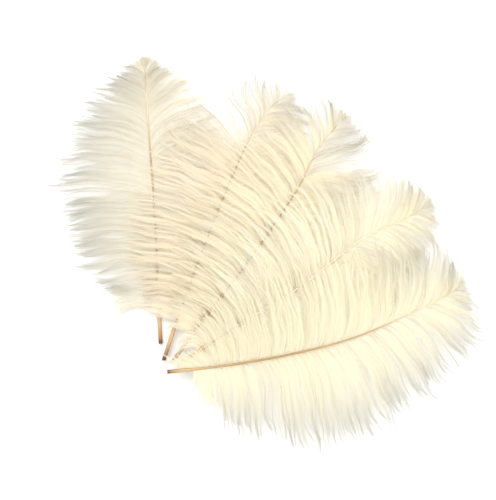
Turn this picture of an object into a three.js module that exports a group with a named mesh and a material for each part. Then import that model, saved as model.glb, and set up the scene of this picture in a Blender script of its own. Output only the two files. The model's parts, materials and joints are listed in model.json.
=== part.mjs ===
// A fan of five ostrich plumes lying on a table, each one over the plume to its left.
// Millimetres, +Z up. The plumes are laid out round a pivot, the place where their quills cross,
// and the finished group is moved so that its origin is the middle of the underside.
import * as THREE from 'three';

// ---------------------------------------------------------------- driving dimensions
const LAYER_PITCH = 4.0; // each plume lies this much higher than the one before it
const QUILL_RADIUS = 1.85;
const QUILL_BORE_RADIUS = 1.3;
const QUILL_TAPER = 5; // the length over which the quill narrows to the shaft
const BORE_DEPTH = 18; // the quill is hollow this far up from its cut end
const CAP_RADIUS = 0.95; // the dry pulp cap stands free inside the bore
const CAP_START = 9; // from the cut end
const CAP_LENGTH = 7;
const SHAFT_FOOT_RADIUS = 1.2;
const SHAFT_TIP_RADIUS = 0.35;
const VANE_THICKNESS = 3.0;
const CLEARANCE = 0.4; // between neighbouring pieces of one plume
const DOWN_SHARE = 0.06; // the share of the plume's length that carries down at the vane's foot
const TIP_START = 0.925; // the vanes end here and the tuft begins, as a share of the length
const TUFT_REACH = 0.041; // half its length, as a share of the plume's length
const TUFT_BREADTH = 0.62; // its breadth beside that of the vanes where they end
const SHOULDER = 0.56; // the share of the plume's length where the vanes are widest
const FOOT_OVERLAP = 0.01; // the outline closes this share of the length below the vane's first barbs
const TIP_ROUNDNESS = 0.7; // the power of the cosine that closes the outline
const DROOP_FROM = 0.72; // the share of the right vane's width where it starts to bend to the table
const DROOP_START = 0.36; // the shares of the length between which that bend grows to its full depth
const DROOP_FULL = 0.52;
const DROOP_TO = 0.97; // the share of the width where it lies on the table

const CENTRELINE_STEPS = 96;
const QUILL_SIDES = 24;
const CAP_SIDES = 8;
const SHAFT_SIDES = 12;
const SHAFT_STEPS = 40;
const VANE_STEPS = 16;
const VANE_STRIPS = 5;
const TUFT_SIDES = 16;
const DOWN_STEPS = 4;
const DOWN_STRIPS = 3;

// Each plume: where the quill's cut end lies, the length along the shaft, the length of bare quill, and the
// shaft's heading in degrees at shares of that length. A vane has its half width, how full its foot is (a lower
// number is fuller) and the share of the length where its outline would close.
const PLUMES = [
  {
    foot: [-1.2, 24.1],
    length: 264,
    bareQuill: 33,
    headings: [[0, 94], [0.3, 92], [0.62, 94.5], [0.9, 92.5], [1, 104]],
    left: { width: 83, fullness: 0.36, close: 1.0 },
    right: { width: 74, fullness: 0.42, close: 1.02 },
  },
  {
    foot: [1.8, 8.8],
    length: 276,
    bareQuill: 38,
    headings: [[0, 76], [0.2, 70], [0.55, 68], [0.74, 66], [0.9, 50], [1, 8]],
    left: { width: 74, fullness: 0.42, close: 1.06 },
    right: { width: 72, fullness: 0.42, close: 1.02 },
  },
  {
    foot: [9.5, 6.9],
    length: 279,
    bareQuill: 36,
    headings: [[0, 58], [0.25, 51], [0.5, 55], [0.68, 57], [0.78, 68], [0.88, 50], [1, 58]],
    left: { width: 72, fullness: 0.42, close: 1.04 },
    right: { width: 76, fullness: 0.42, close: 1.06 },
  },
  {
    foot: [14.7, 5.5],
    length: 276,
    bareQuill: 34,
    headings: [[0, 34], [0.4, 31], [0.58, 40], [0.7, 38], [0.8, 20], [0.9, 28], [1, 52]],
    left: { width: 76, fullness: 0.42, close: 1.04 },
    right: { width: 74, fullness: 0.42, close: 1.04 },
  },
  {
    foot: [6.0, -0.3],
    length: 285,
    bareQuill: 24,
    headings: [[0, 4], [0.2, 8], [0.5, 14], [0.7, 24], [0.86, 25], [1, 44]],
    left: { width: 78, fullness: 0.42, close: 1.06 },
    right: { width: 87, fullness: 0.5, close: 1.08 },
  },
];

// ---------------------------------------------------------------- materials
const ivory = (roughness) => new THREE.MeshStandardMaterial({ color: '#f8f0d8', roughness, metalness: 0 });
const MATERIALS = {
  quill: () => new THREE.MeshStandardMaterial({ color: '#c9a878', roughness: 0.4, metalness: 0 }),
  cap: () => new THREE.MeshStandardMaterial({ color: '#e6d6b4', roughness: 0.8, metalness: 0 }),
  shaft: () => new THREE.MeshStandardMaterial({ color: '#ecdcc0', roughness: 0.45, metalness: 0 }),
  vane: () => ivory(0.85),
  down: () => ivory(0.95),
};

// ---------------------------------------------------------------- the shaft's centreline
const radians = THREE.MathUtils.degToRad;

function headingAt(headings, share) {
  const next = Math.max(1, headings.findIndex(([at]) => at >= share));
  const [fromShare, fromAngle] = headings[next - 1];
  const [toShare, toAngle] = headings[next];
  return THREE.MathUtils.mapLinear(share, fromShare, toShare, fromAngle, toAngle);
}

// Walks along the plume in short steps and returns a function from a share of the length, which may pass
// either end, to the place there, the heading and the direction to the plume's left. The quill is straight.
function centreline({ foot, length, bareQuill, headings }) {
  const step = length / CENTRELINE_STEPS;
  const straight = bareQuill / length;
  const points = [new THREE.Vector2(...foot)];
  for (let i = 0; i < CENTRELINE_STEPS; i += 1) {
    const heading = radians(headingAt(headings, Math.max((i + 0.5) / CENTRELINE_STEPS, straight)));
    points.push(new THREE.Vector2(step, 0).rotateAround(new THREE.Vector2(), heading).add(points[i]));
  }
  return (share) => {
    const inside = THREE.MathUtils.clamp(share, 0, 1);
    const heading = radians(headingAt(headings, Math.max(inside, straight)));
    const along = new THREE.Vector2(Math.cos(heading), Math.sin(heading));
    const index = Math.min(Math.floor(inside * CENTRELINE_STEPS), CENTRELINE_STEPS - 1);
    const place = points[index].clone().lerp(points[index + 1], inside * CENTRELINE_STEPS - index);
    place.addScaledVector(along, (share - inside) * length);
    return { place, heading, left: new THREE.Vector2(-along.y, along.x) };
  };
}

// Moves every vertex of a geometry to the place that a function gives for it.
function reshape(geometry, move) {
  const position = geometry.getAttribute('position');
  const vertex = new THREE.Vector3();
  for (let i = 0; i < position.count; i += 1) {
    vertex.fromBufferAttribute(position, i);
    position.setXYZ(i, ...move(vertex));
  }
  geometry.computeVertexNormals();
  return geometry;
}

// ---------------------------------------------------------------- the pieces of one plume
const layerHeight = (number) => (number - 1) * LAYER_PITCH;
const shaftRadius = (share) => THREE.MathUtils.lerp(SHAFT_FOOT_RADIUS, SHAFT_TIP_RADIUS, share);

function named(name, geometry, material) {
  const mesh = new THREE.Mesh(geometry, material);
  mesh.name = name;
  return mesh;
}

// A lathe turned about +Y, laid down so that its axis runs along the quill from the cut end.
function layAlongQuill(mesh, plume, line, number) {
  const { place, heading } = line(0);
  mesh.rotation.set(0, 0, heading - Math.PI / 2);
  mesh.position.set(place.x, place.y, layerHeight(number) + QUILL_RADIUS);
  return mesh;
}

// The quill: a straight tube, open at the cut end, that narrows to the shaft and is closed there.
function quill(plume, line, number) {
  const end = plume.bareQuill;
  const profile = [
    [0, BORE_DEPTH],
    [QUILL_BORE_RADIUS * 0.6, BORE_DEPTH - 1],
    [QUILL_BORE_RADIUS, BORE_DEPTH - 3],
    [QUILL_BORE_RADIUS, 0],
    [QUILL_RADIUS, 0],
    [QUILL_RADIUS, end - QUILL_TAPER],
    [SHAFT_FOOT_RADIUS, end - CLEARANCE],
    [0, end - CLEARANCE],
  ].map(([radius, along]) => new THREE.Vector2(radius, along));
  const tube = new THREE.LatheGeometry(profile, QUILL_SIDES);
  return layAlongQuill(named(`plume_${number}_quill`, tube, MATERIALS.quill()), plume, line, number);
}

// The pulp cap: a chain of three shrunken cones inside the quill.
function pulpCap(plume, line, number) {
  const cone = CAP_LENGTH / 3;
  const profile = [new THREE.Vector2(0, CAP_START)];
  for (let i = 0; i < 3; i += 1) {
    profile.push(new THREE.Vector2(CAP_RADIUS, CAP_START + cone * (i + 0.15)));
    profile.push(new THREE.Vector2(CAP_RADIUS * 0.45, CAP_START + cone * (i + 0.9)));
  }
  profile.push(new THREE.Vector2(0, CAP_START + CAP_LENGTH));
  const cap = new THREE.LatheGeometry(profile, CAP_SIDES);
  return layAlongQuill(named(`plume_${number}_pulp_cap`, cap, MATERIALS.cap()), plume, line, number);
}

// The shaft: a tapering rod at the height of the quill's axis, bent along the centreline as far as the tuft.
function shaft(plume, line, number) {
  const rod = new THREE.CylinderGeometry(1, 1, 1, SHAFT_SIDES, SHAFT_STEPS);
  const start = plume.bareQuill / plume.length;
  const bent = reshape(rod, (vertex) => {
    const share = THREE.MathUtils.lerp(start, TIP_START, vertex.y + 0.5);
    const { place, left } = line(share);
    const radius = shaftRadius(share);
    place.addScaledVector(left, -vertex.x * radius);
    return [place.x, place.y, layerHeight(number) + QUILL_RADIUS + vertex.z * radius];
  });
  return named(`plume_${number}_shaft`, bent, MATERIALS.shaft());
}

// A vane's half width at a share of the length: it swells from its foot and closes round the tip.
function vaneWidth(plume, side, share) {
  const { width, fullness, close } = plume[side];
  const foot = plume.bareQuill / plume.length - FOOT_OVERLAP;
  const rise = THREE.MathUtils.clamp((share - foot) / (SHOULDER - foot), 0, 1);
  const fall = THREE.MathUtils.clamp((share - SHOULDER) / (close - SHOULDER), 0, 1);
  return width * Math.sin(rise * Math.PI / 2) ** fullness * Math.cos(fall * Math.PI / 2) ** TIP_ROUNDNESS;
}

// How far the right vane of a raised plume bends down, so that its edge rests on the table.
function droop(number, side, share, across) {
  if (side === 'left') {
    return 0;
  }
  const along = THREE.MathUtils.smoothstep(share, DROOP_START, DROOP_FULL);
  return layerHeight(number) * along * THREE.MathUtils.smoothstep(across, DROOP_FROM, DROOP_TO);
}

// A flat closed slab beside the shaft, between two shares of the length, that follows the vane's outline.
function slab(plume, line, number, side, from, to, steps, strips) {
  const box = new THREE.BoxGeometry(1, 1, 1, steps, strips, 1);
  const sign = side === 'left' ? 1 : -1;
  return reshape(box, (vertex) => {
    const share = THREE.MathUtils.lerp(from, to, vertex.x + 0.5);
    const across = side === 'left' ? vertex.y + 0.5 : 0.5 - vertex.y;
    const inner = shaftRadius(share) + CLEARANCE;
    const offset = THREE.MathUtils.lerp(inner, vaneWidth(plume, side, share), across);
    const { place, left } = line(share);
    place.addScaledVector(left, sign * offset);
    const underside = layerHeight(number) - droop(number, side, share, across);
    return [place.x, place.y, underside + (vertex.z + 0.5) * VANE_THICKNESS];
  });
}

function downSlab(plume, line, number, side) {
  const from = plume.bareQuill / plume.length;
  const geometry = slab(plume, line, number, side, from, from + DOWN_SHARE, DOWN_STEPS, DOWN_STRIPS);
  return named(`plume_${number}_${side}_down`, geometry, MATERIALS.down());
}

function vane(plume, line, number, side) {
  const from = plume.bareQuill / plume.length + DOWN_SHARE + CLEARANCE / plume.length;
  const geometry = slab(plume, line, number, side, from, TIP_START, VANE_STEPS, VANE_STRIPS);
  return named(`plume_${number}_${side}_vane`, geometry, MATERIALS.vane());
}

// The tuft: a flat oval cushion past the end of the shaft.
function tipTuft(plume, line, number) {
  const ball = new THREE.SphereGeometry(1, TUFT_SIDES, TUFT_SIDES / 2);
  const vaneEnds = vaneWidth(plume, 'left', TIP_START) + vaneWidth(plume, 'right', TIP_START);
  ball.scale(TUFT_REACH * plume.length, TUFT_BREADTH * vaneEnds / 2, VANE_THICKNESS / 2);
  const mesh = named(`plume_${number}_tip_tuft`, ball, MATERIALS.vane());
  const { place, heading } = line(TIP_START);
  const along = new THREE.Vector2(Math.cos(heading), Math.sin(heading));
  place.addScaledVector(along, TUFT_REACH * plume.length + 2 * CLEARANCE);
  mesh.rotation.set(0, 0, heading);
  mesh.position.set(place.x, place.y, layerHeight(number) + VANE_THICKNESS / 2);
  return mesh;
}

function plumeGroup(plume, number) {
  const line = centreline(plume);
  const group = new THREE.Group();
  group.add(
    quill(plume, line, number),
    pulpCap(plume, line, number),
    shaft(plume, line, number),
    downSlab(plume, line, number, 'left'),
    downSlab(plume, line, number, 'right'),
    vane(plume, line, number, 'left'),
    vane(plume, line, number, 'right'),
    tipTuft(plume, line, number),
  );
  return group;
}

// ---------------------------------------------------------------- the fan
const fan = new THREE.Group();
PLUMES.forEach((plume, index) => fan.add(plumeGroup(plume, index + 1)));
const box = new THREE.Box3().setFromObject(fan, true);
const middle = box.getCenter(new THREE.Vector3());
fan.position.set(-middle.x, -middle.y, -box.min.z);

export default fan;
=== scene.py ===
# %% [markdown]
# # A fan of five ostrich plumes
#
# Five loose ivory plumes lie on a white table, spread like a hand of cards. An ostrich plume is one grown
# thing: a hollow quill, a solid shaft, and hundreds of soft barbs on each side that carry barbules, which
# are finer hairs. An ostrich's barbules have no hooks, so the barbs never zip together into a smooth blade.
# They part into locks, and that is the look to build.
#
# The frame brings the quills, shafts and plain slabs that stand for the soft vanes. The quills and shafts
# stay. The slabs are replaced by real barbs.

# %% Load the frame
import json
import math
from collections import namedtuple

import bmesh
import bpy
import numpy as np
from mathutils import Matrix, Vector


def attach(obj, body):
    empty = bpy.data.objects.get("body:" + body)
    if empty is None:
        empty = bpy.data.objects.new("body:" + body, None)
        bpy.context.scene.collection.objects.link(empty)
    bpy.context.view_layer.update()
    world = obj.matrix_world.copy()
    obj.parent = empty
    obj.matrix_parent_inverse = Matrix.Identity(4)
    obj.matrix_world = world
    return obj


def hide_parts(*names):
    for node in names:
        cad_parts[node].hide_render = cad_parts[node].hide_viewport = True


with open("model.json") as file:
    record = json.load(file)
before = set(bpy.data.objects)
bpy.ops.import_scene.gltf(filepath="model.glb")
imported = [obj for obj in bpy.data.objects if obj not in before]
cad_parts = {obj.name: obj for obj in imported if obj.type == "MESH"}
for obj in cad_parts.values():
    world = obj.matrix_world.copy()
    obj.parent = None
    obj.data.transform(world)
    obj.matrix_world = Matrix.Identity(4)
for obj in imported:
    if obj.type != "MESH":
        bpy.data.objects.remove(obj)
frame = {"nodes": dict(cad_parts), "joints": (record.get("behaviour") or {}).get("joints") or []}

MM = 0.001
PLUMES = (1, 2, 3, 4, 5)
SIDES = {"left": 1, "right": -1}
VANE_END = 0.925  # the share of a plume's length where the vane stops and the tuft begins
PIVOT = np.array(frame["joints"][0]["pos_m"][:2])
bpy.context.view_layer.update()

# %% [markdown]
# ## The line along each plume
#
# Every barb grows from the shaft, so the first thing to know is where the shaft runs. It could be typed in
# again, but the frame's shaft already holds it: its mesh is a row of rings. Sorted by their distance from
# the pivot, the rings fall apart at the gaps between them, and the middle of each ring is a point of the
# line. The line is kept as a heading along the length, because a heading can be carried on past the last
# ring to the plume's tip. The vane's outline is measured on the frame's slabs in the same way.

# %% The stem of a plume
RING_GAP = 1.5 * MM
QUILL_RADIUS = 1.85 * MM
LINE_POINTS = 400
OUTLINE_EDGES = 16
FOOT_AT = 0.02  # the share of the length by which the outline starts below the vane
TIP_AT = np.array([0.955, 0.985, 1.005])  # the shares of the length where the tuft closes
TIP_ROUNDNESS = {1: 0.5, 2: 0.75, 3: 0.75, 4: 0.68, 5: 0.88}


def points_of(node):
    """The points of one of the frame's nodes."""
    vertices = frame["nodes"][node].data.vertices
    points = np.empty(len(vertices) * 3)
    vertices.foreach_get("co", points)
    return points.reshape(-1, 3)


class Stem:
    """The line along one plume, from the quill's cut end to the tip."""

    def __init__(self, number):
        self.number = number
        shaft = points_of(f"plume_{number}_shaft")
        quill = points_of(f"plume_{number}_quill")
        reach = np.hypot(*(shaft[:, :2] - PIVOT).T)
        order = np.argsort(reach)
        gaps = np.flatnonzero(np.diff(reach[order]) > RING_GAP) + 1
        rings = [shaft[ring, :2] for ring in np.split(order, gaps)]
        centres = np.array([(ring.min(0) + ring.max(0)) / 2 for ring in rings])
        steps = np.diff(centres, axis=0)
        at = np.append(0, np.cumsum(np.hypot(*steps.T)))
        turns = np.unwrap(np.arctan2(steps[:, 1], steps[:, 0]))
        middles = (at[1:] + at[:-1]) / 2
        ahead = np.array([math.cos(turns[0]), math.sin(turns[0])])
        self.bare = ((centres[0] - quill[:, :2]) @ ahead).max()
        self.length = (self.bare + at[-1]) / VANE_END
        self.floor = quill[:, 2].min()
        self.along = np.linspace(0, self.length, LINE_POINTS)
        bend = (turns[-1] - turns[-6]) / (middles[-1] - middles[-6])
        past = np.maximum(self.along - self.bare - middles[-1], 0)
        self.headings = np.interp(self.along - self.bare, middles, turns) + past * bend
        stride = np.diff(self.along)[:, None] * self.directions()[:-1]
        self.places = centres[0] - ahead * self.bare + np.vstack([[0, 0], np.cumsum(stride, axis=0)])

    def directions(self):
        return np.column_stack([np.cos(self.headings), np.sin(self.headings)])

    def at(self, along):
        """The place and heading at distances along the stem."""
        x = np.interp(along, self.along, self.places[:, 0])
        y = np.interp(along, self.along, self.places[:, 1])
        return x, y, np.interp(along, self.along, self.headings)

    def outline(self, side, foot):
        """The vane's half width against the distance along the stem."""
        slabs = [points_of(f"plume_{self.number}_{side}_{part}") for part in ("down", "vane")]
        points = np.vstack(slabs)
        away = points[:, None, :2] - self.places[None]
        nearest = (away ** 2).sum(2).argmin(1)
        ahead = self.directions()[nearest]
        away = away[np.arange(len(points)), nearest]
        across = np.abs(ahead[:, 0] * away[:, 1] - ahead[:, 1] * away[:, 0])
        along = self.along[nearest]
        edges = np.linspace(along.min(), along.max(), OUTLINE_EDGES)
        widths = [across[(along >= a) & (along <= b)].max() for a, b in zip(edges, edges[1:])]
        middles = (edges[1:] + edges[:-1]) / 2
        at = np.concatenate([[self.bare - FOOT_AT * self.length], middles, TIP_AT * self.length])
        roundness = TIP_ROUNDNESS[self.number]
        closing = np.array([roundness, roundness ** 2, 0.0]) * widths[-1]
        return at, np.concatenate([[foot], widths, closing])


stems = {number: Stem(number) for number in PLUMES}
for stem in stems.values():
    print(f"plume {stem.number}: {stem.length / MM:.0f} mm long, {stem.bare / MM:.0f} mm of bare quill")

# %% [markdown]
# ## Maths in a material
#
# A material is a net of nodes. Adding Math nodes one at a time hides the formula that they stand for, so a
# small class wraps a node's socket and lets Python's own operators add the nodes. Every other node comes
# from one method, `add`, which takes the node's type, its settings and what goes into its sockets.

# %% A recipe for a material
class Wire:
    """An output socket that can be used in a sum."""

    def __init__(self, recipe, socket):
        self.recipe = recipe
        self.socket = socket

    def maths(self, operation, *values):
        inputs = dict(enumerate((self, *values)))
        return self.recipe.add("ShaderNodeMath", {"operation": operation}, inputs)

    def __add__(self, other):
        return self.maths("ADD", other)

    def __sub__(self, other):
        return self.maths("SUBTRACT", other)

    def __rsub__(self, other):
        return (self * -1) + other

    def __mul__(self, other):
        return self.maths("MULTIPLY", other)

    def __truediv__(self, other):
        return self.maths("DIVIDE", other)

    def __pow__(self, other):
        return self.maths("POWER", other)

    __radd__ = __add__
    __rmul__ = __mul__


class Recipe:
    """One material and the nodes that make it."""

    def __init__(self, name):
        self.material = bpy.data.materials.new(name)
        self.material.use_nodes = True
        self.tree = self.material.node_tree
        self.tree.nodes.clear()

    def add(self, kind, settings=None, inputs=None, output=0):
        """Adds a node and wraps one of its outputs."""
        node = self.tree.nodes.new(kind)
        for name, value in (settings or {}).items():
            if name == "stops":
                while len(node.color_ramp.elements) < len(value):
                    node.color_ramp.elements.new(0.5)
                for element, (position, tint) in zip(node.color_ramp.elements, value):
                    element.position = position
                    element.color = (*tint, 1)
            else:
                setattr(node, name, value)
        for name, value in (inputs or {}).items():
            if isinstance(value, Wire):
                self.tree.links.new(value.socket, node.inputs[name])
            else:
                node.inputs[name].default_value = value
        return None if output is None else Wire(self, node.outputs[output])

    def blend(self, factor, first, second, blend_type="MIX"):
        """Mixes two colours. Sockets 6 and 7 are the colour inputs of a Mix node."""
        settings = {"data_type": "RGBA", "blend_type": blend_type}
        return self.add("ShaderNodeMix", settings, {0: factor, 6: first, 7: second}, output=2)

    def finish(self, shader):
        self.add("ShaderNodeOutputMaterial", inputs={"Surface": shader}, output=None)
        return self.material


print("the recipe class is ready")

# %% [markdown]
# ## The feather finish
#
# A barb is clear keratin full of air, so it is creamy where many lie together, near-white where one is
# alone, and light passes through it. A Principled shader gives the surface and a Translucent one the light
# that comes through. One colour for all would look like wool. So the colour reads the barb's own UV map: v
# runs from its root to its end, and each barb has a strip of u to itself. The middle of the strip is the
# rib, painted darker on some barbs as painted shadow lines between the strands, and its edges are the
# barbules' ends. Where a barb's end lies on the bare table it is painted grey: painted shade that sets the
# thin ends darker than the lit table.

# %% Barbs and down
def colour(red, green, blue, alpha=1.0):
    return (red, green, blue, alpha)


LIGHT_THROUGH = colour(0.995, 0.985, 0.94)
THROUGH = 0.36  # the share of the light that passes through a barb
SHADE = colour(0.90, 0.82, 0.66)
SHADE_STRENGTH = 0.25
# painted shade: plume 1 is painted greyer than the rest, because that plume gets the least light
BARBULE_IVORY = {
    1: (0.955, 0.944, 0.905),
    2: (0.995, 0.966, 0.892),
    3: (0.998, 0.982, 0.898),
    4: (0.9995, 0.992, 0.930),
    5: (0.9995, 0.988, 0.912),
}
TIP_IVORY = (0.975, 0.965, 0.925)
# painted shade: TIP_GREY and END_GREY grey the barb ends that lie on the bare table, so they stand darker
# than the lit table
TIP_GREY = (0.84, 0.82, 0.77)
END_GREY = {
    1: (0.61, 0.61, 0.565),
    2: (0.56, 0.54, 0.48),
    3: (0.58, 0.54, 0.47),
    4: (0.80, 0.78, 0.71),
    5: (0.62, 0.62, 0.59),
}
LEAST_GREY = 0.1  # how grey an end is where it lies on other barbs
# painted shadow lines: some ribs are painted darker, so that thin shade lines run between the strands
SHADOW_LINE_RIB = (0.74, 0.66, 0.50)
SHADOW_LINE_RIBS = 0.22  # the share of the barbs whose rib is darker than its barbules
RIB_TINT = (0.985, 0.965, 0.91)  # a plain rib against its barbules
RIB_SHARE = 12  # the barb is this many times wider than its rib


def feather_finish(name, strips, ivory, grey, grey_from):
    """Barbs with a strip of the UV map each, grey at their ends from one share of the vane on."""
    recipe = Recipe(name)
    place = recipe.add("ShaderNodeUVMap", {"uv_map": "OFBake"})
    strip = recipe.add("ShaderNodeSeparateXYZ", inputs={0: place})
    root_to_end = recipe.add("ShaderNodeSeparateXYZ", inputs={0: place}, output=1)
    count = strip * strips
    across = (count.maths("FRACT") - 0.5).maths("ABSOLUTE") * 2
    each = recipe.add("ShaderNodeCombineXYZ", inputs={0: count * 0.9, 1: root_to_end * 2.5})
    tone = recipe.add("ShaderNodeTexNoise", inputs={"Vector": each, "Scale": 1.0, "Detail": 2.0})
    smooth_start = (root_to_end * 3).maths("MINIMUM", 1)
    rib = colour(*(part * tint for part, tint in zip(ivory, RIB_TINT)))
    one_number = {"noise_dimensions": "1D"}
    chance = recipe.add("ShaderNodeTexWhiteNoise", one_number, {"W": count.maths("FLOOR")})
    # painted shadow lines on the darker ribs
    shadow_lines = chance.maths("LESS_THAN", SHADOW_LINE_RIBS) * smooth_start
    ribbed = recipe.blend(shadow_lines, rib, colour(*SHADOW_LINE_RIB))
    strand = recipe.blend((across * RIB_SHARE).maths("MINIMUM", 1), ribbed, colour(*ivory))
    # painted shade: the ends are greyed where they lie on the bare table
    greyer = ((strip - grey_from) * 4).maths("MAXIMUM", LEAST_GREY).maths("MINIMUM", 1)
    painted_shade_ends = recipe.blend((root_to_end ** 3) * greyer, strand, colour(*grey))
    shaded = recipe.blend((tone - 0.35) * SHADE_STRENGTH, painted_shade_ends, SHADE)
    inputs = {"Base Color": shaded, "Roughness": 0.55 + tone * 0.3, "Sheen Weight": 0.15, "IOR": 1.4}
    surface = recipe.add("ShaderNodeBsdfPrincipled", inputs=inputs)
    light = recipe.add("ShaderNodeBsdfTranslucent", inputs={"Color": LIGHT_THROUGH})
    return recipe.finish(recipe.add("ShaderNodeMixShader", inputs={0: THROUGH, 1: surface, 2: light}))


# %% Finishes for each plume
VANE_BARBS = 172
TUFT_BARBS = 22
DOWN_BARBS = 30
ALL_GREY = -1.0
DOWN_GREY_FROM = 0.9
GREY_FROM = {  # the share of a vane from which its ends lie on the bare table
    (1, "left"): ALL_GREY,
    (1, "right"): 0.85,
    (2, "left"): 0.6,
    (2, "right"): 0.75,
    (3, "left"): 0.7,
    (3, "right"): 0.55,
    (4, "left"): 0.5,
    (4, "right"): 0.6,
    (5, "left"): 0.6,
    (5, "right"): ALL_GREY,
}
for stem in stems.values():
    number = stem.number
    ivory = BARBULE_IVORY[number]
    grey = END_GREY[number]
    stem.finishes = {}
    for side in SIDES:
        name = f"ivory barbs {number} {side}"
        stem.finishes[side] = feather_finish(name, VANE_BARBS, ivory, grey, GREY_FROM[number, side])
    name = f"ivory tip barbs {number}"
    stem.tuft_finish = feather_finish(name, TUFT_BARBS, TIP_IVORY, TIP_GREY, ALL_GREY)
    stem.down_finish = feather_finish(f"white down {number}", DOWN_BARBS, ivory, grey, DOWN_GREY_FROM)
print("each plume has finishes for its barbs, tip and down")

# %% [markdown]
# ## Horn for the quill and shaft
#
# The quill is horn: amber and a little glossy, dark brown at the cut end, where the dried blood is, and
# paler towards the vane. A texture could be painted on, but the distance from the cut end gives the same
# run of colour and fits a quill of any heading. Fine streaks run along it, so a noise is stretched along
# the quill's heading.

# %% Horn
STREAK_SIZE = (20 * MM, 1.1 * MM, 1.1 * MM)
STREAK_DARK = colour(0.50, 0.34, 0.16)


def horn_finish(stem, part, stops, reach, gloss):
    """Horn whose colour runs from the quill's cut end over a distance."""
    recipe = Recipe(f"{part} horn {stem.number}")
    x, y, heading = (float(value) for value in stem.at(0.0))
    foot = (x, y, stem.floor + QUILL_RADIUS)
    place = recipe.add("ShaderNodeTexCoord", output=3)
    away = recipe.add("ShaderNodeVectorMath", {"operation": "DISTANCE"}, {0: place, 1: foot}, output=1)
    along = {"Vector": place, "Location": foot, "Rotation": (0, 0, heading), "Scale": STREAK_SIZE}
    stretched = recipe.add("ShaderNodeMapping", {"vector_type": "TEXTURE"}, along)
    streak = recipe.add("ShaderNodeTexNoise", inputs={"Vector": stretched, "Scale": 1.0, "Detail": 3.0})
    run = recipe.add("ShaderNodeValToRGB", {"stops": stops}, {"Fac": away / reach + (streak - 0.5) * 0.06})
    toned = recipe.blend((streak - 0.4) * 0.9, run, STREAK_DARK, "MULTIPLY")
    bump = recipe.add("ShaderNodeBump", inputs={"Height": streak, "Strength": 0.25, "Distance": 0.0002})
    inputs = {"Base Color": toned, "Roughness": gloss + streak * 0.2, "Normal": bump}
    inputs |= {"Coat Weight": 0.3, "Coat Roughness": 0.25, "IOR": 1.54}
    return recipe.finish(recipe.add("ShaderNodeBsdfPrincipled", inputs=inputs))


# %% Horn for each quill and shaft
CUT_END = (0.10, 0.045, 0.014)
AMBER = (0.36, 0.20, 0.075)
PALE_HORN = (0.60, 0.41, 0.20)
SHAFT_BROWN = (0.43, 0.255, 0.095)
SHAFT_TAN = (0.54, 0.39, 0.20)
SHAFT_IVORY = (0.86, 0.78, 0.60)
PALE_FROM = {1: 0.85, 2: 0.9, 3: 0.9, 4: 0.3, 5: 0.85}  # the share of the length where a shaft is ivory
QUILL_STOPS = [(0.07, CUT_END), (0.17, AMBER), (0.5, PALE_HORN), (1.0, PALE_HORN)]
QUILL_ROUGHNESS = 0.25
SHAFT_ROUGHNESS = 0.35
for stem in stems.values():
    pale = PALE_FROM[stem.number]
    browns = [(0.0, PALE_HORN), (pale * 0.4, SHAFT_BROWN), (pale * 0.8, SHAFT_TAN), (pale, SHAFT_IVORY)]
    quill_finish = horn_finish(stem, "quill", QUILL_STOPS, stem.bare, QUILL_ROUGHNESS)
    stem.finish = horn_finish(stem, "shaft", browns, stem.length, SHAFT_ROUGHNESS)
    frame["nodes"][f"plume_{stem.number}_quill"].material_slots[0].material = quill_finish
    frame["nodes"][f"plume_{stem.number}_shaft"].material_slots[0].material = stem.finish
print("quills and shafts have their horn")

# %% [markdown]
# ## The dry pulp inside the quill
#
# While a feather grows, its quill is full of living pulp. It dries to a row of papery caps. They show only
# at the cut end, so a wrinkled paper finish on the frame's own piece is enough.

# %% Pulp caps
def pulp_finish():
    recipe = Recipe("dry pulp paper")
    place = recipe.add("ShaderNodeTexCoord", output=3)
    wrinkle = recipe.add("ShaderNodeTexNoise", inputs={"Vector": place, "Scale": 1400.0, "Detail": 4.0})
    tint = recipe.blend(wrinkle, colour(0.62, 0.50, 0.32), colour(0.86, 0.78, 0.62))
    bump = recipe.add("ShaderNodeBump", inputs={"Height": wrinkle, "Strength": 0.5, "Distance": 0.0002})
    inputs = {"Base Color": tint, "Roughness": 0.7 + wrinkle * 0.25, "Normal": bump}
    return recipe.finish(recipe.add("ShaderNodeBsdfPrincipled", inputs=inputs))


paper = pulp_finish()
for number in PLUMES:
    frame["nodes"][f"plume_{number}_pulp_cap"].material_slots[0].material = paper
print("pulp caps have their paper")

# %% [markdown]
# ## One straight barb
#
# A barb is a thin rib with a row of barbules on each side. Hair particles would be quick, but they leave no
# mesh for anyone else to use. So one straight barb is modelled along X, from 0 to 1: the rib is a
# three-sided cone cut across so that it can bend, and each barbule is a three-sided spike of four faces.
# Its width is in metres and its length is a share, so that the same barb can be laid along a short path or
# a long one. The barbules are longest in the middle and shrink towards the end, so the end is a wisp. Worn
# barbs have lost most of theirs: they are the bare hairs. A few of each kind are made, so that neighbours
# don't match.

# %% Rib and barbules
BARBULE_RADIUS = 0.19 * MM


def cut_across(mesh, length, cuts):
    """Cuts a shape that lies along X at even places, so that it can bend."""
    for cut in range(1, cuts + 1):
        everything = mesh.verts[:] + mesh.edges[:] + mesh.faces[:]
        place = (length * cut / (cuts + 1), 0, 0)
        bmesh.ops.bisect_plane(mesh, geom=everything, plane_co=place, plane_no=(1, 0, 0))


def add_barbule(mesh, root, tip):
    """A three-sided spike from root to tip."""
    long = (tip - root).length
    turn = (tip - root).to_track_quat("Z", "Y").to_matrix().to_4x4()
    place = Matrix.Translation((root + tip) / 2) @ turn
    ends = {"radius1": BARBULE_RADIUS, "radius2": 0}
    bmesh.ops.create_cone(mesh, cap_ends=True, segments=3, **ends, depth=long, matrix=place)


def as_arrays(mesh):
    """The points and triangles of a bmesh, which is freed."""
    mesh.verts.index_update()
    points = np.array([vertex.co for vertex in mesh.verts])
    triangles = np.array([[vertex.index for vertex in face.verts] for face in mesh.faces])
    mesh.free()
    return points, triangles


print("a barbule is", BARBULE_RADIUS * 2 / MM, "mm thick at its root")

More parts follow.
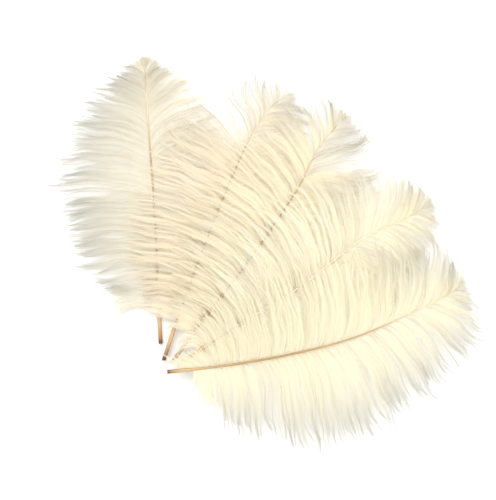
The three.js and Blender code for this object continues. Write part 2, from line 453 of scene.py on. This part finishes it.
# %% Straight barbs
Barb = namedtuple("Barb", "barbules barbule_length slant length rib_radius")
RIB_CUTS = 9
RIB_RADIUS = 0.24 * MM
HAIR_RADIUS = 0.36 * MM
RIB_TAPER = 0.5
FIRST_BARBULE = 0.02
BARBULES_OVER = 0.975
FOOT_SWELL = (0.08, 5)  # how long the barbules are at the root, and how fast they grow from there
END_SHRINK = 0.87
BARBULE_LENGTHS = (0.65, 1.15)
SLANT_SPREAD = 9
TILT_SPREAD = 0.22


def straight_barb(barb, random):
    """A barb in a bmesh, X as a share of its length and Y and Z in metres."""
    mesh = bmesh.new()
    lay_down = Matrix.Translation((barb.length / 2, 0, 0)) @ Matrix.Rotation(math.pi / 2, 4, "Y")
    ends = {"radius1": barb.rib_radius, "radius2": barb.rib_radius * RIB_TAPER}
    bmesh.ops.create_cone(mesh, cap_ends=True, segments=3, **ends, depth=barb.length, matrix=lay_down)
    cut_across(mesh, barb.length, RIB_CUTS)
    for index in range(barb.barbules):
        share = FIRST_BARBULE + BARBULES_OVER * (index + random.uniform(-0.4, 0.4)) / barb.barbules
        swell = min(1.0, FOOT_SWELL[0] + share * FOOT_SWELL[1]) * (1 - END_SHRINK * share ** 3)
        long = barb.barbule_length * swell * random.uniform(*BARBULE_LENGTHS)
        slant = math.radians(barb.slant + random.normal(0, SLANT_SPREAD))
        tilt = random.normal(0, TILT_SPREAD)
        side = 1 if index % 2 else -1
        outward = math.sin(slant)
        root = Vector((share * barb.length, 0, 0))
        ahead = Vector((math.cos(slant), side * outward * math.cos(tilt), outward * math.sin(tilt)))
        add_barbule(mesh, root, root + ahead * long)
    bmesh.ops.triangulate(mesh, faces=mesh.faces[:])
    bmesh.ops.scale(mesh, vec=(1 / barb.length, 1, 1), verts=mesh.verts[:])
    return mesh


HAIR_VARIANTS = 2
VARIANTS = 6
random = np.random.default_rng(20)
hair = Barb(56, 1.5 * MM, 28, 70 * MM, HAIR_RADIUS)
hairs = [as_arrays(straight_barb(hair, random)) for _ in range(HAIR_VARIANTS)]
KINDS = {
    "vane": Barb(230, 5.8 * MM, 42, 82 * MM, RIB_RADIUS),
    "tuft": Barb(150, 3.6 * MM, 38, 40 * MM, RIB_RADIUS),
    "down": Barb(100, 3.6 * MM, 55, 30 * MM, RIB_RADIUS),
}
barbs = {
    kind: [as_arrays(straight_barb(barb, random)) for _ in range(VARIANTS)] for kind, barb in KINDS.items()
}
for kind, variants in barbs.items():
    print(f"one {kind} barb has {len(variants[0][1])} faces")

# %% [markdown]
# ## Bending the barbs
#
# Each barb gets a path: it leaves the shaft steeply, swings out to its own lean, waves a little and curls
# at the end. The path is a heading along the barb, summed up into places. A curve modifier would bend one
# barb at a time. Here, copying a straight barb along its path is one sum for all of its points: go that
# share along the path, and step sideways by the point's width. The piece is shaded flat, because smooth
# shading on three-sided spikes swallows light and turns dense fluff grey.

# %% Lay copies along paths
PATH_STEPS = 28
COLOUR_FROM = 0.01
HAIR_COLOUR_FROM = 0.6  # a bare hair has the colours of a barb's outer part
COLOUR_TO = 0.98
STRIP_USED = 0.46


def lay_along(shapes, which, paths, headings, rolls, breadths):
    """Bends a copy of a straight barb along each path and returns points, triangles and UVs."""
    all_points, all_triangles, all_uvs = [], [], []
    used = 0
    widest = max(np.abs(points[:, 1]).max() for points, _ in shapes)
    for index, (points, triangles) in enumerate(shapes):
        chosen = np.flatnonzero(which == index)
        if not len(chosen):
            continue
        step = np.clip(points[:, 0], 0, 1) * PATH_STEPS
        low = np.minimum(step.astype(int), PATH_STEPS - 1)
        part = (step - low)[None, :, None]
        place = paths[chosen][:, low] * (1 - part) + paths[chosen][:, low + 1] * part
        heading = headings[chosen][:, low]
        roll = rolls[chosen, None]
        width = points[None, :, 1] * breadths[chosen, None]
        height = points[None, :, 2] * breadths[chosen, None]
        sideways = width * np.cos(roll) - height * np.sin(roll)
        place[..., 0] -= np.sin(heading) * sideways
        place[..., 1] += np.cos(heading) * sideways
        place[..., 2] += width * np.sin(roll) + height * np.cos(roll)
        strip = 0.5 + STRIP_USED * points[:, 1] / widest
        u = (chosen[:, None] + strip[None]) / len(which)
        start = COLOUR_FROM if index < VARIANTS else HAIR_COLOUR_FROM
        v = start + (COLOUR_TO - start) * np.clip(points[:, 0], 0, 1) + points[:, 2] * 2
        v = np.broadcast_to(v, u.shape)
        firsts = used + np.arange(len(chosen)) * len(points)
        all_points.append(place.reshape(-1, 3))
        all_triangles.append((triangles[None] + firsts[:, None, None]).reshape(-1, 3))
        all_uvs.append(np.stack([u, v], axis=2).reshape(-1, 2))
        used += len(chosen) * len(points)
    return np.vstack(all_points), np.vstack(all_triangles), np.vstack(all_uvs)


def make_piece(name, points, triangles, uvs, finish, slot, number):
    """A mesh object at the origin that rides on its plume."""
    mesh = bpy.data.meshes.new(name)
    mesh.vertices.add(len(points))
    mesh.vertices.foreach_set("co", points.ravel())
    mesh.loops.add(triangles.size)
    mesh.loops.foreach_set("vertex_index", triangles.ravel().astype(np.int32))
    mesh.polygons.add(len(triangles))
    mesh.polygons.foreach_set("loop_start", np.arange(0, triangles.size, 3, dtype=np.int32))
    mesh.update(calc_edges=True)
    layer = mesh.uv_layers.new(name="OFBake")
    layer.data.foreach_set("uv", uvs[triangles.ravel()].ravel())
    mesh.shade_flat()
    mesh.materials.append(finish)
    piece = bpy.data.objects.new(name, mesh)
    bpy.context.scene.collection.objects.link(piece)
    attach(piece, f"plume_{number}")
    return piece


print("barbs can be bent and laid")

# %% [markdown]
# ## How a vane falls
#
# Near the foot the barbs stand square to the shaft or lean back. Towards the tip they lean more and more
# forward. Each side of each plume has its own leans, at six places along it, and its own curls at two.
# Barbs cling in locks of one to three, and four locks make a bunch. The members of a lock share part of
# their swing, wave and curl, and their ends draw together, while those of a bunch drift the same way. Equal
# barbs would look like a comb, and barbs that each go their own way like a brush.

# %% Styles
LEAN_AT = (0.08, 0.17, 0.45, 0.75, 0.93, 0.97)
CURL_AT = (0.5, 0.85)
Style = namedtuple("Style", "lean curl foot loose hairy")  # degrees, degrees, metres and two shares
STYLE = {
    (1, "left"): Style((98, 100, 92, 76, 58, 10), (8, 14), 38 * MM, 0.7, 0.3),
    (1, "right"): Style((110, 100, 88, 70, 54, 10), (8, 14), 15 * MM, 0.8, 0.4),
    (2, "left"): Style((112, 106, 100, 78, 50, 4), (14, -44), 26 * MM, 2.2, 0.9),
    (2, "right"): Style((105, 98, 88, 76, 54, 8), (14, 10), 15 * MM, 1.4, 0.85),
    (3, "left"): Style((124, 106, 98, 70, 44, 6), (18, 4), 20 * MM, 1.4, 0.5),
    (3, "right"): Style((110, 98, 86, 68, 52, 10), (12, -62), 14 * MM, 2.6, 0.95),
    (4, "left"): Style((150, 106, 90, 64, 44, 6), (30, 20), 34 * MM, 1.3, 0.3),
    (4, "right"): Style((115, 98, 88, 72, 54, 8), (10, 14), 14 * MM, 1.5, 0.4),
    (5, "left"): Style((158, 110, 90, 68, 44, 6), (14, 16), 34 * MM, 1.2, 0.3),
    (5, "right"): Style((104, 98, 98, 84, 58, 12), (-16, -10), 12 * MM, 1.5, 0.35),
}
LARGEST_LOCK = 3
LOCKS_IN_BUNCH = 4
LOOSE_ALONG = (0.5, 0.85)  # the shares of the length between which a vane gets as loose as its style


def smooth(low, high, value):
    """0 below low, 1 above high, and an even slope between them."""
    part = np.clip((value - low) / (high - low), 0, 1)
    return part * part * (3 - 2 * part)


class Strays:
    """Random differences between barbs: a barb's own, its lock's or its bunch's."""

    def __init__(self, random, shares, style):
        self.random = random
        self.count = len(shares)
        sizes = random.integers(1, LARGEST_LOCK + 1, self.count)
        self.lock = np.repeat(np.arange(self.count), sizes)[:self.count]
        self.bunch = self.lock // LOCKS_IN_BUNCH
        self.calm = min(1, style.loose)
        self.looser = 1 + (style.loose - 1) * smooth(*LOOSE_ALONG, shares)

    def own(self, spread):
        return self.random.normal(0, spread, self.count)

    def shared(self, spread):
        return self.own(spread)[self.lock] * self.calm

    def loose(self, spread):
        return self.own(spread)[self.bunch] * self.looser

    def evenly(self, low, high):
        """One value between two limits for each bunch."""
        return self.random.uniform(low, high, self.count)[self.bunch]


print("each side of each plume has its style:", len(STYLE))

# %% How barbs bend
BARB_SHARES = np.linspace(0, 1, PATH_STEPS + 1)[None]
LEAVING = math.radians(44)  # how much steeper a barb is where it leaves the shaft
LEAVING_FADES = 0.22
CURL_STARTS = 0.4
WAVE_LENGTHS = (28, 52)  # in millimetres
SHORTEST = 6 * MM
LENGTH_STEPS = 115


def reach_outline(stem, side, roots, bearing, longest):
    """How long each barb has to be for its end to meet the vane's outline."""
    at, width = stem.outline(side, STYLE[stem.number, side].foot)
    lengths = np.linspace(SHORTEST, longest, LENGTH_STEPS)[None]
    ahead = np.cos(bearing).mean(1)[:, None] * lengths
    sideways = np.sin(bearing).mean(1)[:, None] * lengths
    reached = roots[:, None] + ahead
    inside = (sideways <= np.interp(reached, at, width)) & (reached < at[-1])
    return lengths[0, np.maximum(inside.cumprod(1).sum(1) - 1, 4)]


def bend(stem, side, roots, strays, wild, longest):
    """The angle between each barb and the stem, step by step, and each barb's length."""
    u = BARB_SHARES
    style = STYLE[stem.number, side]
    shares = roots / stem.length
    lean = np.radians(np.interp(shares, LEAN_AT, style.lean))
    far = np.maximum(u - CURL_STARTS, 0) ** 2 / (1 - CURL_STARTS) ** 2
    swing = np.radians(strays.loose(0.9) + strays.shared(0.9) + strays.own(1.4)) * wild
    strayed = (strays.loose(3.6) + strays.shared(6) + strays.own(4)) * wild
    curl = np.radians(np.interp(shares, CURL_AT, style.curl) + strayed)
    leaving = np.exp(-u / LEAVING_FADES) * LEAVING
    bearing = lean[:, None] - leaving + swing[:, None] + curl[:, None] * far
    fitted = reach_outline(stem, side, roots, bearing, longest)
    lengths = fitted * (1 + strays.shared(0.045) + strays.own(0.065))
    swell = np.abs(strays.loose(1.8)) + np.abs(strays.shared(2.6)) + np.abs(strays.own(2))
    wave = np.radians(3.5 + swell)
    waves = lengths / (strays.evenly(*WAVE_LENGTHS) * MM)
    phase = strays.evenly(0, 2 * math.pi) + strays.shared(0.5) + strays.own(0.15)
    turns = np.sin(2 * math.pi * waves[:, None] * u + phase[:, None])
    bearing += wave[:, None] * turns * smooth(0, CURL_STARTS, u)
    return bearing, lengths


print("a barb bends in", PATH_STEPS, "steps")

# %% [markdown]
# ## How a vane rests
#
# A barb arches up from the shaft and comes down again on what lies below. The right vane of a raised plume
# hangs down to the table at its edge, and the rest lies over the plume below.

# %% Where barbs lie
ROOTS_AT = (0.1, 0.9)
ROOTS_ASIDE = (0.9 * MM, 0.25 * MM)  # how far the roots are from the middle of the shaft
ROOT_HEIGHT = 1.4 * MM
ARCH = 2.2
REST = 1.4
DRAW = 0.3  # how far a lock's ends draw together
MOST_DRAW = 1.5
DRAW_ALONG = (0.4, 1.0)
DROOP_FROM = 0.58
DROOP_ALONG = (0.36, 0.52)
TABLE_GAP = 0.8 * MM


def lay_paths(stem, side, roots, strays, bearing, lengths):
    """The places along each barb on the table plane, and the headings there."""
    sign = SIDES[side]
    x, y, stem_heading = stem.at(roots)
    aside = sign * np.interp(roots / stem.length, ROOTS_AT, ROOTS_ASIDE)
    x -= np.sin(stem_heading) * aside
    y += np.cos(stem_heading) * aside
    headings = stem_heading[:, None] + sign * bearing
    lock_root = (np.bincount(strays.lock, roots) / np.bincount(strays.lock))[strays.lock]
    draw = DRAW * np.minimum(strays.looser, MOST_DRAW) * (lock_root - roots)
    stride = (lengths / PATH_STEPS)[:, None]
    middle = (headings[:, 1:] + headings[:, :-1]) / 2
    paths = np.zeros((len(roots), PATH_STEPS + 1, 3))
    paths[:, 1:, 0] = np.cumsum(np.cos(middle) * stride, axis=1)
    paths[:, 1:, 1] = np.cumsum(np.sin(middle) * stride, axis=1)
    together = draw[:, None] * smooth(*DRAW_ALONG, BARB_SHARES)
    paths[..., 0] += x[:, None] + np.cos(stem_heading)[:, None] * together
    paths[..., 1] += y[:, None] + np.sin(stem_heading)[:, None] * together
    return paths, headings


def rise(stem, side, roots, strays):
    """How high each barb runs above the table."""
    u = BARB_SHARES
    hump = (ARCH + np.abs(strays.shared(0.5)) + strays.own(0.4)) * MM
    rest = (REST + np.abs(strays.shared(0.7)) + np.abs(strays.own(0.4))) * MM
    arch = hump[:, None] * np.sin(math.pi * u ** 0.7)
    above = ROOT_HEIGHT + (rest - ROOT_HEIGHT)[:, None] * u + arch
    if side == "right":
        hang = smooth(*DROOP_ALONG, roots / stem.length)[:, None] * smooth(DROOP_FROM, 1.0, u)
        above = above - hang * (stem.floor - TABLE_GAP)
    return stem.floor + above


print("a barb arches", ARCH, "mm above its root")

# %% [markdown]
# ## Growing one set of barbs
#
# Roots are spread along the stem, each barb is bent and laid, and a straight barb is chosen for it. Towards
# the tips more of them are bare hairs.

# %% Grow one set of barbs
ROOT_SPREAD = 0.25 * MM
LONGEST = 110 * MM
HAIRS = 0.12  # the share of bare hairs where a vane is dense
HAIRY_ALONG = (0.63, 0.78)
BREADTHS = (0.7, 1.3)
LOWEST = 0.15 * MM


def grow(stem, side, start, end, count, kind, random, wild=1.0, longest=LONGEST):
    """Barbs on one side of a stem between two distances along it."""
    roots = np.linspace(start, end, count) + random.normal(0, ROOT_SPREAD, count)
    shares = roots / stem.length
    style = STYLE[stem.number, side]
    strays = Strays(random, shares, style)
    bearing, lengths = bend(stem, side, roots, strays, wild, longest)
    paths, headings = lay_paths(stem, side, roots, strays, bearing, lengths)
    paths[..., 2] = rise(stem, side, roots, strays)
    hairy = HAIRS + (style.hairy - HAIRS) * smooth(*HAIRY_ALONG, shares)
    which = random.integers(0, VARIANTS, count)
    which = np.where(random.random(count) < hairy, VARIANTS + which % HAIR_VARIANTS, which)
    rolls = np.radians(strays.shared(7) + strays.own(10))
    breadths = np.clip(1 + strays.shared(0.06) + strays.own(0.08), *BREADTHS)
    points, triangles, uvs = lay_along(barbs[kind] + hairs, which, paths, headings, rolls, breadths)
    points[:, 2] = np.maximum(points[:, 2], LOWEST)
    return points, triangles, uvs


print("barbs can grow")

# %% The vanes
VANE_STARTS = 0.06  # the share of the length, past the quill, where the down gives way to the vane
for number, stem in stems.items():
    foot = stem.bare + VANE_STARTS * stem.length
    for side in SIDES:
        random = np.random.default_rng(100 + 10 * number + SIDES[side])
        grown = grow(stem, side, foot, VANE_END * stem.length, VANE_BARBS, "vane", random)
        name = f"plume_{number}_{side}_barbs"
        piece = make_piece(name, *grown, stem.finishes[side], "vane", number)
        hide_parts(f"plume_{number}_{side}_vane")
        print(name, len(piece.data.polygons), "faces")

# %% [markdown]
# ## Down at the foot and a tuft at the tip
#
# The lowest barbs are short and loose: down. On the upper plumes it starts on the quill itself and spreads
# back over the quills below. At the tip the barbs close up round the end of the shaft and make a tuft. Both
# grow from the same stem by the same rule, only shorter and wilder.

# %% Down
DOWN_WILD = 4.2
DOWN_LONGEST = dict.fromkeys(STYLE, 34 * MM)
DOWN_LONGEST[1, "left"] = 42 * MM
DOWN_LONGEST[4, "left"] = 25 * MM
DOWN_LONGEST[5, "left"] = 22 * MM
DOWN_STARTS = {1: 0, 2: 0, 3: 4 * MM, 4: 8 * MM, 5: 9 * MM}  # how far down the quill it grows on the left
for number, stem in stems.items():
    for side in SIDES:
        random = np.random.default_rng(300 + 10 * number + SIDES[side])
        lowest = stem.bare - (DOWN_STARTS[number] if side == "left" else 0)
        highest = stem.bare + VANE_STARTS * stem.length
        loose = {"wild": DOWN_WILD, "longest": DOWN_LONGEST[number, side]}
        grown = grow(stem, side, lowest, highest, DOWN_BARBS, "down", random, **loose)
        name = f"plume_{number}_{side}_down_barbs"
        piece = make_piece(name, *grown, stem.down_finish, "down", number)
        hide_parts(f"plume_{number}_{side}_down")
        print(name, len(piece.data.polygons), "faces")

# %% Tufts
TUFT_WILD = 1.6
TUFT_END = 0.965
for number, stem in stems.items():
    random = np.random.default_rng(500 + number)
    reach = (VANE_END * stem.length, TUFT_END * stem.length)
    halves = [grow(stem, side, *reach, TUFT_BARBS, "tuft", random, wild=TUFT_WILD) for side in SIDES]
    points = np.vstack([half[0] for half in halves])
    triangles = np.vstack([halves[0][1], halves[1][1] + len(halves[0][0])])
    uvs = np.vstack([half[2] for half in halves])
    piece = make_piece(f"plume_{number}_tip_barbs", points, triangles, uvs, stem.tuft_finish, "vane", number)
    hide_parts(f"plume_{number}_tip_tuft")
    print(f"plume {number} has a tuft of {len(piece.data.polygons)} faces")

# %% [markdown]
# ## The end of the shaft
#
# The frame's shaft stops where the tuft begins. On a real plume it runs on as a hair nearly to the tip, so
# a thin cone is cut across, bent along the stem and set on the shaft's end.

# %% Shaft ends
END_SIDES = 12
END_CUTS = 8
SHAFT_END = 0.98  # the share of the plume's length that the shaft reaches


def shaft_end(stem):
    """A thin cone from the frame's shaft almost to the plume's tip."""
    start = VANE_END * stem.length
    long = SHAFT_END * stem.length - start
    shaft = points_of(f"plume_{stem.number}_shaft")
    end_ring = shaft[np.argsort(np.hypot(*(shaft[:, :2] - PIVOT).T))[-END_SIDES:]]
    radius = (end_ring[:, 2].max() - end_ring[:, 2].min()) / 2
    middle = (end_ring[:, 2].max() + end_ring[:, 2].min()) / 2
    mesh = bmesh.new()
    turn = Matrix.Translation((long / 2, 0, 0)) @ Matrix.Rotation(math.pi / 2, 4, "Y")
    ends = {"radius1": radius, "radius2": radius * 0.2}
    bmesh.ops.create_cone(mesh, cap_ends=True, segments=END_SIDES, **ends, depth=long, matrix=turn)
    cut_across(mesh, long, END_CUTS)
    bmesh.ops.triangulate(mesh, faces=mesh.faces[:])
    points, triangles = as_arrays(mesh)
    up = points[:, 0] / long * 0.9 + points[:, 2] * 50 + 0.05
    uvs = np.column_stack([0.5 + points[:, 1] / radius * 0.45, up])
    x, y, heading = stem.at(start + points[:, 0])
    bent = np.column_stack([
        x - np.sin(heading) * points[:, 1],
        y + np.cos(heading) * points[:, 1],
        middle + points[:, 2],
    ])
    name = f"plume_{stem.number}_shaft_end"
    return make_piece(name, bent, triangles, uvs, stem.finish, "shaft", stem.number)


for stem in stems.values():
    print(shaft_end(stem).name, "added")

# %% [markdown]
# ## Table, light and camera
#
# The plumes lie on plain white and are seen from straight above. Big soft lamps keep the shadows faint, as
# in a light tent, and a bright surround fills them in. Light bounces many times inside the fluff before it
# comes out again, so it is allowed more bounces than usual. With fewer, the fluff goes grey.

# %% Table
def table_finish():
    recipe = Recipe("white table")
    place = recipe.add("ShaderNodeTexCoord", output=3)
    grain = recipe.add("ShaderNodeTexNoise", inputs={"Vector": place, "Scale": 60.0, "Detail": 3.0})
    tint = recipe.blend(grain, colour(0.93, 0.93, 0.93), colour(0.95, 0.95, 0.95))
    inputs = {"Base Color": tint, "Roughness": 0.8}
    return recipe.finish(recipe.add("ShaderNodeBsdfPrincipled", inputs=inputs))


TABLE_HALF_WIDTH = 3.0
table_mesh = bmesh.new()
bmesh.ops.create_grid(table_mesh, x_segments=1, y_segments=1, size=TABLE_HALF_WIDTH)
table_data = bpy.data.meshes.new("table")
table_mesh.to_mesh(table_data)
table_mesh.free()
table_data.materials.append(table_finish())
table = bpy.data.objects.new("table", table_data)
bpy.context.scene.collection.objects.link(table)
print("the table is", table.dimensions.x, "m wide")


# %% Light
SURROUND_STRENGTH = 0.87
BOUNCES = 32


def soft_lamp(name, place, size, watts):
    """A square lamp that points at the middle of the table."""
    lamp = bpy.data.lights.new(name, "AREA")
    lamp.shape = "SQUARE"
    lamp.size = size
    lamp.energy = watts
    holder = bpy.data.objects.new(name, lamp)
    holder.location = place
    holder.rotation_mode = "QUATERNION"
    holder.rotation_quaternion = (-Vector(place)).to_track_quat("-Z", "Y")
    bpy.context.scene.collection.objects.link(holder)


soft_lamp("key lamp", (-0.5, 0.7, 1.5), size=1.2, watts=17.0)
soft_lamp("fill lamp", (0.9, -0.6, 1.3), size=1.4, watts=6)
world = bpy.data.worlds.new("bright surround")
world.use_nodes = True
background = world.node_tree.nodes["Background"]
background.inputs["Color"].default_value = (1, 1, 1, 1)
background.inputs["Strength"].default_value = SURROUND_STRENGTH
bpy.context.scene.world = world
bpy.context.scene.view_settings.view_transform = "Standard"
bpy.context.scene.cycles.max_bounces = BOUNCES
bpy.context.scene.cycles.diffuse_bounces = BOUNCES
bpy.context.scene.cycles.transmission_bounces = BOUNCES
print("two lamps and a bright surround")

# %% Camera
LENS_MM = 85
SENSOR_MM = 36
SEEN_HIGH = 460 * MM  # the stretch of table in view
AIM_FROM_PIVOT = Vector((79, 110)) * MM
camera_data = bpy.data.cameras.new("camera")
camera_data.lens = LENS_MM
camera_data.sensor_width = SENSOR_MM
camera = bpy.data.objects.new("camera", camera_data)
aim = Vector(PIVOT) + AIM_FROM_PIVOT
camera.location = (aim.x, aim.y, SEEN_HIGH * LENS_MM / SENSOR_MM)
bpy.context.scene.collection.objects.link(camera)
bpy.context.scene.camera = camera
print(f"the camera is {camera.location.z:.2f} m above the table")
